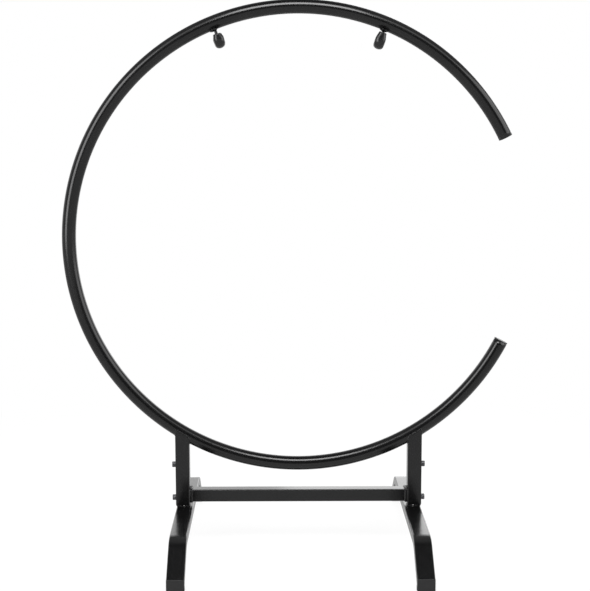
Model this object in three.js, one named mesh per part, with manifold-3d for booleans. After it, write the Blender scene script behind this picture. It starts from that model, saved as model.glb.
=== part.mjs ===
// A free-standing stand for a gong: an open hoop of round tube on two legs, with bent feet.
// Millimetres, +Z up, floor at zero, front towards -Y, seen left and right from the front.

import * as THREE from 'three';
import { mergeVertices } from 'three/addons/utils/BufferGeometryUtils.js';
import Module from 'manifold-3d';

const wasm = await Module();
wasm.setup();

// Clearances that all pieces share
const CONTACT_GAP = 0.3;
const CUT_OVERRUN = 6;

// Hoop: round tube rolled to a circle that stays open on the right
const RING_RADIUS = 515;
const RING_TUBE_DIAMETER = 32;
const RING_TUBE_WALL = 2;
const RING_FIRST_ANGLE = 26.4;
const RING_LAST_ANGLE = 333.2;
const RING_STEPS = 76;
const RING_OUTER_SIDES = 24;
const RING_BORE_SIDES = 16;

// Plastic plugs in the two ends of the hoop
const RING_CAP_FLANGE = 2;
const RING_CAP_PLUG_LENGTH = 12;
const RING_CAP_PLUG_CLEARANCE = 1;
const RING_CAP_EDGE = 0.8;
const RING_CAP_SIDES = 24;

// Legs: square tube, coped to the underside of the hoop, whose middle line they carry at a set height
const LEG_WIDTH = 32;
const LEG_WALL = 2;
const LEG_CORNER_RADIUS = 2.5;
const LEG_ABOVE_FOOT = 2.6;
const HOOP_ABOVE_FEET_AT_LEGS = 172;
const LEG_BEAD = 2;

// Cross bar: square tube welded between the legs
const BAR_LENGTH = 500;
const BAR_WIDTH = 28.5;
const BAR_WALL = 2;
const BAR_CORNER_RADIUS = 2.5;
const BAR_CENTRE_ABOVE_FEET = 24.4;
const BAR_BEAD_LENGTH = 10;
const BAR_BEAD_INSET = 2.6;
const BAR_BEAD_ABOVE_LEG = 1;
const BAR_BEAD_EDGE = 1.2;

// Feet: flat rectangular tube, bent down to the floor at both ends, set in a little from the legs' sides
const FOOT_WIDTH = 38;
const FOOT_INSET = 2;
const FOOT_HEIGHT = 20;
const FOOT_WALL = 2;
const FOOT_CORNER_RADIUS = 2.5;
const FOOT_LEVEL_LENGTH = 448;
const FOOT_BEND_RADIUS = 62;
const FOOT_SLOPE_ANGLE = 36.8;
const FOOT_HALF_REACH = 331;
const FOOT_BEND_SIDES = 7;

// Plastic plugs in the feet, each with a plate and a flat sole
const SOLE_THICKNESS = 2;
const SOLE_DEPTH = 12;
const FOOT_CAP_PLATE = 3;
const FOOT_CAP_PLUG_LENGTH = 16;
const FOOT_CAP_PLUG_CLEARANCE = 0.5;
const FOOT_CAP_EDGE = 1.2;

// Stubs: square tube welded on the feet, inside the legs
const STUB_CLEARANCE = 0.5;
const STUB_WALL = 2;
const STUB_CORNER_RADIUS = 2;
const STUB_HEIGHT = 125;
const STUB_BEAD_WIDTH = 2.2;
const STUB_BEAD_HEIGHT = 1.7;

// Socket screws from the outer side of each leg into weld nuts in the stub
const BOLT_DIAMETER = 8;
const BOLT_LENGTH = 16;
const BOLT_HEAD_DIAMETER = 13;
const BOLT_HEAD_HEIGHT = 8;
const BOLT_HEAD_EDGE = 0.8;
const BOLT_SOCKET_WIDTH = 6;
const BOLT_SOCKET_DEPTH = 4;
const BOLT_HOLE_CLEARANCE = 0.5;
const LOWER_BOLT_ABOVE_FEET = 17.4;
const BOLT_SPACING = 78;
const BOLT_SIDES = 20;
const NUT_WIDTH = 13;
const NUT_HEIGHT = 6.5;
const NUT_BORE_CLEARANCE = 0.35;

// Hooks: rod bent to a U that is open at the top, with a thick rubber sleeve, inside the top of the hoop
const HOOK_ROD_DIAMETER = 7;
const HOOK_BEND_RADIUS = 12;
const HOOK_SLEEVE_DIAMETER = 17;
const HOOK_SLEEVE_CLEARANCE = 0.45;
const HOOK_SLEEVE_BEND_WIDTH = 23.5;
const HOOK_ROD_INSET = 1.5;
const HOOK_WELD_LENGTH = 26;
const HOOK_WELD_WIDTH = 24;
const HOOK_WELD_HEIGHT = 3.2;
const HOOK_STEPS = 24;
const HOOK_ROD_SIDES = 10;
const HOOK_SLEEVE_SIDES = 14;

// The two hooks are bent and welded by hand, so they differ: place, lean and twist in degrees
const LEFT_HOOK_ANGLE = 111.3;
const LEFT_HOOK_LEAN = -3;
const LEFT_HOOK_TWIST = 5;
const LEFT_HOOK_REACH = 42.5;
const LEFT_SLEEVE_BELOW_HOOP = 9;
const LEFT_TIP_BELOW_HOOP = 11.5;
const LEFT_WELD_ASIDE = 4.5;
const RIGHT_HOOK_ANGLE = 67.8;
const RIGHT_HOOK_LEAN = -2.6;
const RIGHT_HOOK_TWIST = 3.5;
const RIGHT_HOOK_REACH = 43.5;
const RIGHT_SLEEVE_BELOW_HOOP = 4.2;
const RIGHT_TIP_BELOW_HOOP = 6;

// Places worked out from the sizes above
const RING_TUBE_RADIUS = RING_TUBE_DIAMETER / 2;
const SLOPE = THREE.MathUtils.degToRad(FOOT_SLOPE_ANGLE);
const FOOT_BEND_Y = FOOT_LEVEL_LENGTH / 2;
const FOOT_UNDERSIDE_CORNER_Y = FOOT_BEND_Y + (FOOT_BEND_RADIUS - FOOT_HEIGHT / 2) * Math.tan(SLOPE / 2);
const FOOT_DROP = (FOOT_HALF_REACH - FOOT_UNDERSIDE_CORNER_Y) * Math.tan(SLOPE);
const FOOT_MIDDLE_Z = SOLE_THICKNESS + FOOT_DROP + FOOT_HEIGHT / 2;
const FOOT_TOP_Z = FOOT_MIDDLE_Z + FOOT_HEIGHT / 2;
const BAR_Z = FOOT_TOP_Z + BAR_CENTRE_ABOVE_FEET;
const LEG_X = (BAR_LENGTH + LEG_WIDTH) / 2;
const RING_CENTRE_Z = FOOT_TOP_Z + HOOP_ABOVE_FEET_AT_LEGS + Math.sqrt(RING_RADIUS ** 2 - LEG_X ** 2);
const LEG_OUTER_X = LEG_X + LEG_WIDTH / 2;
const LEG_BOTTOM_Z = FOOT_TOP_Z + LEG_ABOVE_FOOT;
const FOOT_X = LEG_OUTER_X - FOOT_INSET - FOOT_WIDTH / 2;
const STUB_WIDTH = LEG_WIDTH - 2 * LEG_WALL - 2 * STUB_CLEARANCE;
const HOOK_ARM_BEFORE_BEND = RING_TUBE_RADIUS - HOOK_SLEEVE_DIAMETER / 2 - HOOK_BEND_RADIUS;
const BOLT_HEIGHTS = {
  lower: FOOT_TOP_Z + LOWER_BOLT_ABOVE_FEET,
  upper: FOOT_TOP_Z + LOWER_BOLT_ABOVE_FEET + BOLT_SPACING,
};

const X_AXIS = new THREE.Vector3(1, 0, 0);
const Y_AXIS = new THREE.Vector3(0, 1, 0);
const Z_AXIS = new THREE.Vector3(0, 0, 1);

// Materials
const powderCoat = new THREE.MeshStandardMaterial({ color: 0x1d1d1e, roughness: 0.4, metalness: 0.1 });
const rubber = new THREE.MeshStandardMaterial({ color: 0x2b2b2c, roughness: 0.75, metalness: 0 });
const plastic = new THREE.MeshStandardMaterial({ color: 0x202021, roughness: 0.55, metalness: 0 });
const blackSteel = new THREE.MeshStandardMaterial({ color: 0x323234, roughness: 0.4, metalness: 0.8 });
const zincSteel = new THREE.MeshStandardMaterial({ color: 0x9a9ca0, roughness: 0.35, metalness: 1 });

// Closed mesh to a solid for booleans
function toSolid(geometry) {
  const bare = geometry.clone();
  bare.deleteAttribute('normal');
  bare.deleteAttribute('uv');
  const merged = mergeVertices(bare);
  const corners = merged.index.array;
  const triangles = [];
  for (let i = 0; i < corners.length; i += 3) {
    const [a, b, c] = [corners[i], corners[i + 1], corners[i + 2]];
    if (a !== b && b !== c && c !== a) triangles.push(a, b, c);
  }
  const vertProperties = new Float32Array(merged.attributes.position.array);
  const triVerts = new Uint32Array(triangles);
  return new wasm.Manifold(new wasm.Mesh({ numProp: 3, vertProperties, triVerts }));
}

// Solid back to a geometry with flat faces
function toGeometry(solid) {
  const mesh = solid.getMesh();
  const geometry = new THREE.BufferGeometry();
  geometry.setAttribute('position', new THREE.BufferAttribute(new Float32Array(mesh.vertProperties), 3));
  geometry.setIndex(new THREE.BufferAttribute(new Uint32Array(mesh.triVerts), 1));
  const flat = geometry.toNonIndexed();
  flat.computeVertexNormals();
  return flat;
}

// Outlines
function circlePoints(radius, sides) {
  const points = [];
  for (let i = 0; i < sides; i += 1) {
    const angle = (2 * Math.PI * i) / sides;
    points.push(new THREE.Vector2(radius * Math.cos(angle), radius * Math.sin(angle)));
  }
  return points;
}

function roundedRectPoints(width, height, radius) {
  const cornerSides = 3;
  const points = [];
  for (let corner = 0; corner < 4; corner += 1) {
    const signX = corner === 0 || corner === 3 ? 1 : -1;
    const signY = corner < 2 ? 1 : -1;
    for (let i = 0; i <= cornerSides; i += 1) {
      const angle = ((corner + i / cornerSides) * Math.PI) / 2;
      const x = signX * (width / 2 - radius) + radius * Math.cos(angle);
      const y = signY * (height / 2 - radius) + radius * Math.sin(angle);
      points.push(new THREE.Vector2(x, y));
    }
  }
  return points;
}

function outline(points, holePoints) {
  const shape = new THREE.Shape(points);
  if (holePoints) shape.holes.push(new THREE.Path(holePoints));
  return shape;
}

// Prism of an outline along +Z, with its first face at z = 0
function prism(shape, depth) {
  return new THREE.ExtrudeGeometry(shape, { depth, bevelEnabled: false });
}

// Prism along +Z whose long edges at both ends are rounded, inside the outline's own size
function roundedPrism(shape, depth, edge) {
  const geometry = new THREE.ExtrudeGeometry(shape, {
    depth: depth - 2 * edge,
    bevelEnabled: true,
    bevelThickness: edge,
    bevelSize: edge,
    bevelOffset: -edge,
    bevelSegments: 3,
  });
  return geometry.translate(0, 0, edge);
}

// Outline drawn as depth (Y) and height (Z), with its thickness along X about x = 0
function sideways(geometry, thickness) {
  geometry.translate(0, 0, -thickness / 2);
  return geometry.applyMatrix4(new THREE.Matrix4().makeBasis(Y_AXIS, Z_AXIS, X_AXIS));
}

function boxBetween(low, high) {
  const size = new THREE.Vector3().subVectors(high, low);
  const middle = new THREE.Vector3().addVectors(low, high).multiplyScalar(0.5);
  return new THREE.BoxGeometry(size.x, size.y, size.z).translate(middle.x, middle.y, middle.z);
}

// Circle of the hoop in the XZ plane, between its two open ends
class HoopCurve extends THREE.Curve {
  getPoint(t, target = new THREE.Vector3()) {
    const degrees = THREE.MathUtils.lerp(RING_FIRST_ANGLE, RING_LAST_ANGLE, t);
    const angle = THREE.MathUtils.degToRad(degrees);
    return target.set(RING_RADIUS * Math.cos(angle), 0, RING_RADIUS * Math.sin(angle));
  }
}

// Straight arm, half turn and straight arm back, in the local XY plane
class HookCurve extends THREE.Curve {
  constructor(start, bendAt, end) {
    super();
    this.start = start;
    this.bendAt = bendAt;
    this.end = end;
  }

  getPoint(t, target = new THREE.Vector3()) {
    const rear = this.bendAt - this.start;
    const turn = Math.PI * HOOK_BEND_RADIUS;
    const front = this.bendAt - this.end;
    const along = t * (rear + turn + front);
    if (along <= rear) return target.set(this.start + along, 0, 0);
    if (along <= rear + turn) {
      const angle = (along - rear) / HOOK_BEND_RADIUS;
      const x = this.bendAt + HOOK_BEND_RADIUS * Math.sin(angle);
      return target.set(x, HOOK_BEND_RADIUS * (1 - Math.cos(angle)), 0);
    }
    return target.set(this.bendAt - (along - rear - turn), 2 * HOOK_BEND_RADIUS, 0);
  }
}

function sweep(shape, extrudePath, steps) {
  return new THREE.ExtrudeGeometry(shape, { extrudePath, steps, bevelEnabled: false });
}

// Solid hoop of a given tube radius, used to cut whatever is welded to the hoop
function hoopEnvelope(extra) {
  const section = outline(circlePoints(RING_TUBE_RADIUS + extra, RING_OUTER_SIDES));
  return toSolid(sweep(section, new HoopCurve(), RING_STEPS).translate(0, 0, RING_CENTRE_Z));
}

function ringTube() {
  const bore = circlePoints(RING_TUBE_RADIUS - RING_TUBE_WALL, RING_BORE_SIDES);
  const section = outline(circlePoints(RING_TUBE_RADIUS, RING_OUTER_SIDES), bore);
  return sweep(section, new HoopCurve(), RING_STEPS).translate(0, 0, RING_CENTRE_Z);
}

// Plug with a thin flange, turned about +Y, with the tube's end face at y = 0
function ringCapGeometry() {
  const boreRadius = RING_TUBE_RADIUS - RING_TUBE_WALL;
  const plugRadius = boreRadius - RING_CAP_PLUG_CLEARANCE;
  const face = CONTACT_GAP + RING_CAP_FLANGE;
  const profile = [
    new THREE.Vector2(0, -RING_CAP_PLUG_LENGTH),
    new THREE.Vector2(plugRadius - RING_CAP_EDGE, -RING_CAP_PLUG_LENGTH),
    new THREE.Vector2(plugRadius, -RING_CAP_PLUG_LENGTH + RING_CAP_EDGE),
    new THREE.Vector2(plugRadius, CONTACT_GAP),
    new THREE.Vector2(RING_TUBE_RADIUS, CONTACT_GAP),
    new THREE.Vector2(RING_TUBE_RADIUS, face - RING_CAP_EDGE),
    new THREE.Vector2(RING_TUBE_RADIUS - RING_CAP_EDGE, face),
    new THREE.Vector2(0, face),
  ];
  return new THREE.LatheGeometry(profile, RING_CAP_SIDES);
}

// Leg outline as a solid post, larger than the leg by a given amount on each side
function legEnvelope(sign, extra) {
  const width = LEG_WIDTH + 2 * extra;
  const post = prism(outline(roundedRectPoints(width, width, LEG_CORNER_RADIUS + extra)), legLength());
  return toSolid(post.translate(sign * LEG_X, 0, LEG_BOTTOM_Z));
}

// Posts run up past the hoop's middle line and are then cut back to it
function legLength() {
  const meetingHeight = Math.sqrt(RING_RADIUS ** 2 - LEG_OUTER_X ** 2);
  return RING_CENTRE_Z - meetingHeight + CUT_OVERRUN - LEG_BOTTOM_Z;
}

// Disc inside the hoop's middle line
function hoopDisc() {
  const thickness = LEG_WIDTH + 2 * CUT_OVERRUN;
  const discSides = 4 * RING_STEPS;
  const disc = new THREE.CylinderGeometry(RING_RADIUS, RING_RADIUS, thickness, discSides);
  return toSolid(disc.translate(0, 0, RING_CENTRE_Z));
}

// Round cutter for the screws, through the outer wall that it starts in
function boltHole(sign, z) {
  const radius = BOLT_DIAMETER / 2 + BOLT_HOLE_CLEARANCE;
  const wallDepth = LEG_WALL + STUB_CLEARANCE + STUB_WALL;
  const length = wallDepth + 2 * CUT_OVERRUN;
  const cutter = new THREE.CylinderGeometry(radius, radius, length, BOLT_SIDES);
  cutter.rotateZ(Math.PI / 2);
  return toSolid(cutter.translate(sign * (LEG_OUTER_X - wallDepth / 2), 0, z));
}

function leg(sign) {
  const innerWidth = LEG_WIDTH - 2 * LEG_WALL;
  const bore = roundedRectPoints(innerWidth, innerWidth, LEG_CORNER_RADIUS / 2);
  const section = outline(roundedRectPoints(LEG_WIDTH, LEG_WIDTH, LEG_CORNER_RADIUS), bore);
  const post = toSolid(prism(section, legLength()).translate(sign * LEG_X, 0, LEG_BOTTOM_Z));
  let solid = post.subtract(hoopEnvelope(CONTACT_GAP)).subtract(hoopDisc());
  for (const z of Object.values(BOLT_HEIGHTS)) solid = solid.subtract(boltHole(sign, z));
  return toGeometry(solid);
}

// Fillet that fills the corner between the leg's sides and the hoop
function legWeld(sign) {
  const corner = legEnvelope(sign, LEG_BEAD).intersect(hoopEnvelope(LEG_BEAD));
  const bead = corner.subtract(legEnvelope(sign, CONTACT_GAP)).subtract(hoopEnvelope(CONTACT_GAP));
  return toGeometry(bead.subtract(hoopDisc()));
}

function crossBar() {
  const innerWidth = BAR_WIDTH - 2 * BAR_WALL;
  const bore = roundedRectPoints(innerWidth, innerWidth, BAR_CORNER_RADIUS / 2);
  const section = outline(roundedRectPoints(BAR_WIDTH, BAR_WIDTH, BAR_CORNER_RADIUS), bore);
  const length = BAR_LENGTH - 2 * CONTACT_GAP;
  return sideways(prism(section, length), length).translate(0, 0, BAR_Z);
}

// Bead laid round the bar beside the leg, so wide that it also laps onto the leg's front and back
function barWeld(sign) {
  const beadHeight = (LEG_WIDTH - BAR_WIDTH) / 2 + BAR_BEAD_ABOVE_LEG;
  const width = BAR_WIDTH + 2 * beadHeight;
  const section = outline(roundedRectPoints(width, width, BAR_CORNER_RADIUS + beadHeight));
  const collar = sideways(roundedPrism(section, BAR_BEAD_LENGTH, BAR_BEAD_EDGE), BAR_BEAD_LENGTH);
  const holeWidth = BAR_WIDTH + 2 * CONTACT_GAP;
  const holeLength = BAR_BEAD_LENGTH + 2 * CUT_OVERRUN;
  const holeOutline = outline(roundedRectPoints(holeWidth, holeWidth, BAR_CORNER_RADIUS + CONTACT_GAP));
  const hole = sideways(prism(holeOutline, holeLength), holeLength);
  const ring = toSolid(collar).subtract(toSolid(hole));
  const middle = BAR_LENGTH / 2 - BAR_BEAD_INSET;
  const placed = ring.translate([sign * middle, 0, BAR_Z]);
  return toGeometry(placed.subtract(legEnvelope(sign, CONTACT_GAP)));
}

// Side outline of a bent bar, between two offsets from the foot's middle line
function footOutline(above, below) {
  const overlongSlope = FOOT_HALF_REACH;
  const edgeFromBend = (direction, offset) => {
    const radius = FOOT_BEND_RADIUS + offset;
    const points = [];
    for (let i = 0; i <= FOOT_BEND_SIDES; i += 1) {
      const angle = (SLOPE * i) / FOOT_BEND_SIDES;
      const y = FOOT_BEND_Y + radius * Math.sin(angle);
      points.push(new THREE.Vector2(direction * y, radius * Math.cos(angle) - FOOT_BEND_RADIUS));
    }
    const last = points[points.length - 1];
    const endY = Math.abs(last.x) + overlongSlope * Math.cos(SLOPE);
    points.push(new THREE.Vector2(direction * endY, last.y - overlongSlope * Math.sin(SLOPE)));
    return points;
  };
  return new THREE.Shape([
    ...edgeFromBend(-1, below).reverse(),
    ...edgeFromBend(1, below),
    ...edgeFromBend(1, above).reverse(),
    ...edgeFromBend(-1, above),
  ]);
}

// Block that keeps only what lies between two depths
function depthSlab(fromY, toY) {
  const halfWidth = FOOT_WIDTH;
  const low = new THREE.Vector3(-halfWidth, fromY, -FOOT_MIDDLE_Z);
  const high = new THREE.Vector3(halfWidth, toY, FOOT_MIDDLE_Z);
  return toSolid(boxBetween(low, high));
}

function foot() {
  const half = FOOT_HEIGHT / 2;
  const rounded = roundedPrism(footOutline(half, -half), FOOT_WIDTH, FOOT_CORNER_RADIUS);
  const outer = sideways(rounded, FOOT_WIDTH);
  const boreHalf = half - FOOT_WALL;
  const boreWidth = FOOT_WIDTH - 2 * FOOT_WALL;
  const bore = sideways(prism(footOutline(boreHalf, -boreHalf), boreWidth), boreWidth);
  const tube = toSolid(outer).subtract(toSolid(bore));
  const cut = tube.intersect(depthSlab(-FOOT_HALF_REACH, FOOT_HALF_REACH));
  return toGeometry(cut).translate(0, 0, FOOT_MIDDLE_Z);
}

// Plug for the rear end of a foot: block inside the tube, plate over its end, sole under its corner
function footCap() {
  const plugHalf = FOOT_HEIGHT / 2 - FOOT_WALL - FOOT_CAP_PLUG_CLEARANCE;
  const plugWidth = FOOT_WIDTH - 2 * FOOT_WALL - 2 * FOOT_CAP_PLUG_CLEARANCE;
  const plateY = FOOT_HALF_REACH + CONTACT_GAP;
  const plug = toSolid(sideways(prism(footOutline(plugHalf, -plugHalf), plugWidth), plugWidth));
  const plugCut = depthSlab(FOOT_HALF_REACH - FOOT_CAP_PLUG_LENGTH, plateY + FOOT_CAP_PLATE / 2);

  const underside = (y) => SOLE_THICKNESS + (FOOT_HALF_REACH - y) * Math.tan(SLOPE) - FOOT_MIDDLE_Z;
  const plateHeight = FOOT_HEIGHT / Math.cos(SLOPE);
  const floor = -FOOT_MIDDLE_Z;
  const top = underside(FOOT_HALF_REACH) + plateHeight;
  const soleStartY = FOOT_HALF_REACH - SOLE_DEPTH;
  const seatGap = CONTACT_GAP / Math.cos(SLOPE);
  const side = new THREE.Shape([
    new THREE.Vector2(soleStartY, floor),
    new THREE.Vector2(plateY + FOOT_CAP_PLATE, floor),
    new THREE.Vector2(plateY + FOOT_CAP_PLATE, top - FOOT_CAP_EDGE),
    new THREE.Vector2(plateY + FOOT_CAP_PLATE - FOOT_CAP_EDGE, top),
    new THREE.Vector2(plateY, top),
    new THREE.Vector2(plateY, underside(plateY) - seatGap),
    new THREE.Vector2(soleStartY, underside(soleStartY) - seatGap),
  ]);
  const plate = toSolid(sideways(prism(side, FOOT_WIDTH), FOOT_WIDTH));
  return toGeometry(plug.intersect(plugCut).add(plate)).translate(0, 0, FOOT_MIDDLE_Z);
}

function stub(sign) {
  const boreWidth = STUB_WIDTH - 2 * STUB_WALL;
  const bore = roundedRectPoints(boreWidth, boreWidth, STUB_CORNER_RADIUS / 2);
  const section = outline(roundedRectPoints(STUB_WIDTH, STUB_WIDTH, STUB_CORNER_RADIUS), bore);
  const post = prism(section, STUB_HEIGHT).translate(sign * LEG_X, 0, FOOT_TOP_Z + CONTACT_GAP);
  let solid = toSolid(post);
  for (const z of Object.values(BOLT_HEIGHTS)) solid = solid.subtract(boltHole(sign, z));
  return toGeometry(solid);
}

function stubWeld() {
  const width = STUB_WIDTH + 2 * STUB_BEAD_WIDTH;
  const holeWidth = STUB_WIDTH + 2 * CONTACT_GAP;
  const hole = roundedRectPoints(holeWidth, holeWidth, STUB_CORNER_RADIUS + CONTACT_GAP);
  const rim = roundedRectPoints(width, width, STUB_CORNER_RADIUS + STUB_BEAD_WIDTH);
  return prism(outline(rim, hole), STUB_BEAD_HEIGHT);
}

// Socket screw along +Y, with the seat of its head at y = 0 and its shank below
function bolt() {
  const headRadius = BOLT_HEAD_DIAMETER / 2;
  const shankRadius = BOLT_DIAMETER / 2;
  const profile = [
    new THREE.Vector2(0, -BOLT_LENGTH),
    new THREE.Vector2(shankRadius - BOLT_HEAD_EDGE, -BOLT_LENGTH),
    new THREE.Vector2(shankRadius, -BOLT_LENGTH + BOLT_HEAD_EDGE),
    new THREE.Vector2(shankRadius, 0),
    new THREE.Vector2(headRadius, 0),
    new THREE.Vector2(headRadius, BOLT_HEAD_HEIGHT - BOLT_HEAD_EDGE),
    new THREE.Vector2(headRadius - BOLT_HEAD_EDGE, BOLT_HEAD_HEIGHT),
    new THREE.Vector2(0, BOLT_HEAD_HEIGHT),
  ];
  const socketRadius = BOLT_SOCKET_WIDTH / Math.sqrt(3);
  const socketHeight = BOLT_SOCKET_DEPTH + CUT_OVERRUN;
  const socket = new THREE.CylinderGeometry(socketRadius, socketRadius, socketHeight, 6);
  socket.translate(0, BOLT_HEAD_HEIGHT - BOLT_SOCKET_DEPTH + socketHeight / 2, 0);
  const turned = toSolid(new THREE.LatheGeometry(profile, BOLT_SIDES));
  return toGeometry(turned.subtract(toSolid(socket)));
}

// Hexagon nut along +Z with its first face at z = 0
function nut() {
  const rim = circlePoints(NUT_WIDTH / Math.sqrt(3), 6);
  const bore = circlePoints(BOLT_DIAMETER / 2 + NUT_BORE_CLEARANCE, BOLT_SIDES);
  return prism(outline(rim, bore), NUT_HEIGHT);
}

// The two hooks, with their bend, sleeve and free tip measured from the hoop's middle line
const HOOKS = {
  left: {
    angle: LEFT_HOOK_ANGLE,
    lean: LEFT_HOOK_LEAN,
    twist: LEFT_HOOK_TWIST,
    bendAt: LEFT_HOOK_REACH + HOOK_ARM_BEFORE_BEND,
    sleeveStart: RING_TUBE_RADIUS + LEFT_SLEEVE_BELOW_HOOP,
    tip: RING_TUBE_RADIUS + LEFT_TIP_BELOW_HOOP,
    weldAside: LEFT_WELD_ASIDE,
  },
  right: {
    angle: RIGHT_HOOK_ANGLE,
    lean: RIGHT_HOOK_LEAN,
    twist: RIGHT_HOOK_TWIST,
    bendAt: RIGHT_HOOK_REACH + HOOK_ARM_BEFORE_BEND,
    sleeveStart: RING_TUBE_RADIUS + RIGHT_SLEEVE_BELOW_HOOP,
    tip: RING_TUBE_RADIUS + RIGHT_TIP_BELOW_HOOP,
    weldAside: 0,
  },
};

// Frame of a hook: X down from the hoop's middle line, Y from the rear arm to the front arm
function hookFrame(hook) {
  const angle = THREE.MathUtils.degToRad(hook.angle);
  const lean = THREE.MathUtils.degToRad(hook.lean);
  const twist = THREE.MathUtils.degToRad(hook.twist);
  const [leanCos, leanSin] = [Math.cos(lean), Math.sin(lean)];
  const outward = new THREE.Vector3(Math.cos(angle), 0, Math.sin(angle));
  const towardsMiddle = new THREE.Vector3(Math.sin(angle), 0, -Math.cos(angle));
  if (towardsMiddle.x * outward.x > 0) towardsMiddle.negate();
  const down = outward.clone().multiplyScalar(-leanCos).addScaledVector(towardsMiddle, leanSin);
  const level = towardsMiddle.clone().multiplyScalar(leanCos).addScaledVector(outward, leanSin);
  const across = level.multiplyScalar(Math.sin(twist)).addScaledVector(Y_AXIS, -Math.cos(twist));
  const normal = new THREE.Vector3().crossVectors(down, across);
  const root = outward.multiplyScalar(RING_RADIUS).addScaledVector(Z_AXIS, RING_CENTRE_Z);
  return new THREE.Matrix4().makeBasis(down, across, normal).setPosition(root);
}

// Section swept along a hook between two distances from the hoop's middle line
function hookSweep(section, hook, start, end) {
  const curve = new HookCurve(start, hook.bendAt, end);
  return sweep(section, curve, HOOK_STEPS).applyMatrix4(hookFrame(hook));
}

function hookRod(hook) {
  const section = outline(circlePoints(HOOK_ROD_DIAMETER / 2, HOOK_ROD_SIDES));
  const rod = hookSweep(section, hook, 0, hook.tip + HOOK_ROD_INSET);
  return toGeometry(toSolid(rod).subtract(hoopEnvelope(CONTACT_GAP)));
}

// Sleeve that bulges sideways in the bend, where its inner side is pressed together
function hookSleeve(hook) {
  const bore = circlePoints(HOOK_ROD_DIAMETER / 2 + HOOK_SLEEVE_CLEARANCE, HOOK_ROD_SIDES);
  const section = outline(circlePoints(HOOK_SLEEVE_DIAMETER / 2, HOOK_SLEEVE_SIDES), bore);
  const sleeve = hookSweep(section, hook, hook.sleeveStart, hook.tip);
  const frame = hookFrame(hook);
  sleeve.applyMatrix4(frame.clone().invert());
  const bulge = HOOK_SLEEVE_BEND_WIDTH / HOOK_SLEEVE_DIAMETER - 1;
  const points = sleeve.attributes.position;
  for (let i = 0; i < points.count; i += 1) {
    const towardsBend = THREE.MathUtils.smoothstep(points.getX(i), hook.sleeveStart, hook.bendAt);
    points.setZ(i, points.getZ(i) * (1 + bulge * towardsBend));
  }
  return sleeve.applyMatrix4(frame);
}

// Mound of weld round the rod's root, laid over the underside of the hoop
function hookWeld(hook) {
  const mound = new THREE.SphereGeometry(1, HOOK_SLEEVE_SIDES, HOOK_ROD_SIDES);
  mound.scale(RING_TUBE_RADIUS / 2 + HOOK_WELD_HEIGHT, HOOK_WELD_WIDTH / 2, HOOK_WELD_LENGTH / 2);
  mound.translate(RING_TUBE_RADIUS / 2, 0, hook.weldAside).applyMatrix4(hookFrame(hook));
  const section = outline(circlePoints(HOOK_ROD_DIAMETER / 2 + CONTACT_GAP, HOOK_ROD_SIDES));
  const rod = hookSweep(section, hook, 0, hook.tip);
  return toGeometry(toSolid(mound).subtract(toSolid(rod)).subtract(hoopEnvelope(CONTACT_GAP)));
}

const stand = new THREE.Group();

function add(name, geometry, material) {
  const mesh = new THREE.Mesh(geometry, material);
  mesh.name = name;
  stand.add(mesh);
  return mesh;
}

// Hoop and its two plugs, each turned to point out of its end of the tube
add('ring_tube', ringTube(), powderCoat);
const ringEnds = { upper: [RING_FIRST_ANGLE, -1], lower: [RING_LAST_ANGLE, 1] };
for (const [place, [degrees, direction]] of Object.entries(ringEnds)) {
  const angle = THREE.MathUtils.degToRad(degrees);
  const cap = add(`ring_cap_${place}`, ringCapGeometry(), plastic);
  cap.position.set(RING_RADIUS * Math.cos(angle), 0, RING_CENTRE_Z + RING_RADIUS * Math.sin(angle));
  const outward = new THREE.Vector3(-Math.sin(angle), 0, Math.cos(angle)).multiplyScalar(direction);
  cap.quaternion.setFromUnitVectors(Y_AXIS, outward);
}

add('cross_bar', crossBar(), powderCoat);

const sides = { left: -1, right: 1 };
for (const [side, sign] of Object.entries(sides)) {
  add(`${side}_leg`, leg(sign), powderCoat);
  add(`${side}_leg_weld`, legWeld(sign), powderCoat);
  add(`${side}_bar_weld`, barWeld(sign), powderCoat);
  add(`${side}_stub`, stub(sign), powderCoat);
  add(`${side}_stub_weld`, stubWeld(), powderCoat).position.set(sign * LEG_X, 0, FOOT_TOP_Z + CONTACT_GAP);
  add(`${side}_foot`, foot(), powderCoat).position.x = sign * FOOT_X;

  for (const [end, turn] of Object.entries({ front: Math.PI, rear: 0 })) {
    const cap = add(`${side}_foot_cap_${end}`, footCap(), plastic);
    cap.position.x = sign * FOOT_X;
    cap.rotation.z = turn;
  }

  for (const [level, z] of Object.entries(BOLT_HEIGHTS)) {
    const screw = add(`${side}_bolt_${level}`, bolt(), blackSteel);
    screw.position.set(sign * (LEG_OUTER_X + CONTACT_GAP), 0, z);
    screw.rotation.z = (-sign * Math.PI) / 2;

    const weldNut = add(`${side}_nut_${level}`, nut(), zincSteel);
    const nutFace = LEG_X + STUB_WIDTH / 2 - STUB_WALL - CONTACT_GAP;
    weldNut.position.set(sign * nutFace, 0, z);
    weldNut.rotation.y = (-sign * Math.PI) / 2;
  }
}

for (const [side, hook] of Object.entries(HOOKS)) {
  add(`${side}_hook_rod`, hookRod(hook), powderCoat);
  add(`${side}_hook_sleeve`, hookSleeve(hook), rubber);
  add(`${side}_hook_weld`, hookWeld(hook), powderCoat);
}

// The origin is under the middle of the whole stand, which the open side moves off the hoop's middle
stand.updateMatrixWorld(true);
const whole = new THREE.Box3().setFromObject(stand, true);
stand.position.x = -whole.getCenter(new THREE.Vector3()).x;
stand.updateMatrixWorld(true);

export default stand;
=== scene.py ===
import math

import bmesh
import bpy
from mathutils import Matrix, Vector


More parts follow.
